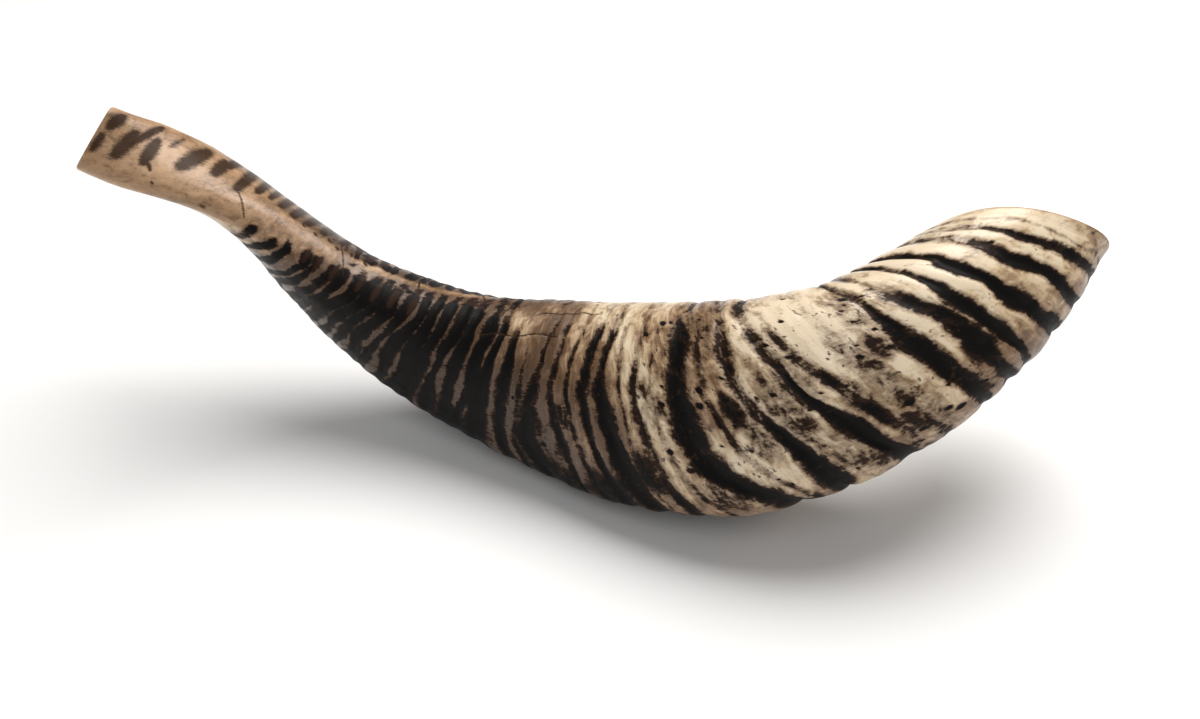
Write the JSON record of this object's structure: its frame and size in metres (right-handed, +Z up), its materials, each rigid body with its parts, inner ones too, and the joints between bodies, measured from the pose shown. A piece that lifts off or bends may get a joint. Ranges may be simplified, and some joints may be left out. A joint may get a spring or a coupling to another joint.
{
  "type": "shofar",
  "caption": "Natural ram's horn shofar, curved and twisted, with a flattened mouthpiece, a drilled windway, a hollow ridged body and a sawn bell.",
  "frame": {"origin": "under the middle of the horn's box, on the surface that the horn rests on", "axes": "+X along the horn's length, from the mouthpiece towards the bell; +Z up with the horn at rest on its broad outer face; +Y towards the back, the way the bell faces"},
  "size_m": [0.2857, 0.0936, 0.1005],
  "materials": {
    "bare_horn": "polished keratin, honey tan with fine scratches",
    "ridged_horn": "polished keratin, tan ridges between brown-black grooves"
  },
  "bodies": {
    "root": {"mouthpiece": "bare_horn", "neck": "bare_horn", "throat": "ridged_horn", "belly": "ridged_horn", "bell": "ridged_horn"}
  },
  "joints": []
}
